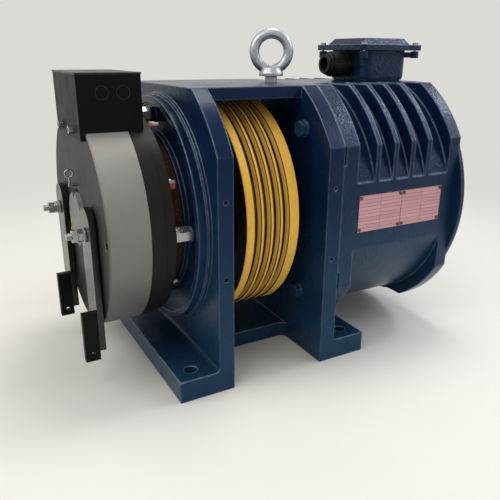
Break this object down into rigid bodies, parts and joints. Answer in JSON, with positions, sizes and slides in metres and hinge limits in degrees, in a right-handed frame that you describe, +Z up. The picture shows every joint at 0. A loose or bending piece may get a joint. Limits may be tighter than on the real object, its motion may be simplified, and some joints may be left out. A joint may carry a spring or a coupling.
{
  "type": "elevator traction machine",
  "caption": "Gearless elevator traction machine with a grooved sheave between cast pedestals, a disc brake with release levers, a ribbed motor and a lifting eye.",
  "frame": {"origin": "centre of the four base bolt holes, on the floor", "axes": "+X along the shaft towards the motor, +Z up, brake end at -X"},
  "size_m": [0.765, 0.494, 0.5834],
  "materials": {
    "navy_enamel": "semi-gloss sprayed enamel on cast iron",
    "yellow_enamel": "satin sprayed enamel",
    "machined_steel": "turned steel",
    "bearing_steel": "ground steel",
    "blackened_steel": "black oxide",
    "copper_winding": "varnished copper",
    "plated_magnet": "nickel plate",
    "zinc_plate": "bright zinc plate",
    "black_plastic": "moulded plastic",
    "rubber": "moulded rubber",
    "aluminium": "satin anodised",
    "friction_lining": "pressed friction lining",
    "black_paint": "matt black paint"
  },
  "bodies": {
    "machine": {"main_frame": "navy_enamel", "bearing_outer_rings": "bearing_steel", "bearing_caps": "navy_enamel", "motor_housing": "navy_enamel", "stator_core": "blackened_steel", "stator_windings": "copper_winding", "rear_cover": "navy_enamel", "rear_cover_screws": "zinc_plate", "encoder_body": "black_plastic", "encoder_cover": "navy_enamel", "flange_bolts": "navy_enamel", "terminal_box": "navy_enamel", "terminal_gasket": "rubber", "terminal_lid": "navy_enamel", "terminal_lid_screws": "zinc_plate", "terminal_block": "black_plastic", "cable_gland": "black_plastic", "gland_nut": "black_plastic", "eye_bolt": "zinc_plate", "nameplates": "aluminium", "nameplate_rivets": "zinc_plate", "magnet_body": "machined_steel", "brake_coils": "copper_winding", "brake_springs": "blackened_steel", "brake_ring": "blackened_steel", "spacer_nuts": "zinc_plate", "brake_bolts": "blackened_steel", "ring_screws": "zinc_plate", "center_cap": "aluminium", "lock_pin": "zinc_plate", "switch_box": "black_paint", "switch_box_lid": "black_paint", "switch_box_screws": "zinc_plate", "knockout_plugs": "black_paint", "brake_switches": "black_plastic"},
    "rotor": {"main_shaft": "machined_steel", "traction_sheave": "yellow_enamel", "sheave_screws": "blackened_steel", "bearing_inner_rings": "bearing_steel", "bearing_rollers": "bearing_steel", "rotor_drum": "blackened_steel", "rotor_magnets": "plated_magnet", "rotor_screws": "blackened_steel", "encoder_wheel": "aluminium", "brake_hub": "machined_steel", "friction_disc": "friction_lining"},
    "near_lever": {"lever_near": "black_paint", "handle_near": "black_paint"},
    "far_lever": {"lever_far": "black_paint", "handle_far": "black_paint"},
    "near_armature": {"armature_near": "blackened_steel", "stud_near": "zinc_plate", "stud_nuts_near": "zinc_plate"},
    "far_armature": {"armature_far": "blackened_steel", "stud_far": "zinc_plate", "stud_nuts_far": "zinc_plate"}
  },
  "joints": [
    {"name": "rotor_spin", "type": "hinge", "parent": "machine", "child": "rotor", "pos_m": [0, 0, 0.267], "axis": [1, 0, 0], "continuous": true},
    {"name": "near_lever_pull", "type": "hinge", "parent": "machine", "child": "near_lever", "pos_m": [-0.27546, -0.098, 0.281], "axis": [0, 1, 0], "range_deg": [0, 2.5], "stiffness_Nm_per_rad": 60},
    {"name": "far_lever_pull", "type": "hinge", "parent": "machine", "child": "far_lever", "pos_m": [-0.27546, 0.098, 0.281], "axis": [0, 1, 0], "range_deg": [0, 2.5], "stiffness_Nm_per_rad": 60},
    {"name": "near_armature_lift", "type": "slide", "parent": "machine", "child": "near_armature", "axis": [-1, 0, 0], "range_m": [0, 0.0007]},
    {"name": "far_armature_lift", "type": "slide", "parent": "machine", "child": "far_armature", "axis": [-1, 0, 0], "range_m": [0, 0.0007]}
  ],
  "couplings": [
    {"joint": "near_armature_lift", "follows": "near_lever_pull", "m_per_rad": 0.014},
    {"joint": "far_armature_lift", "follows": "far_lever_pull", "m_per_rad": 0.014}
  ]
}
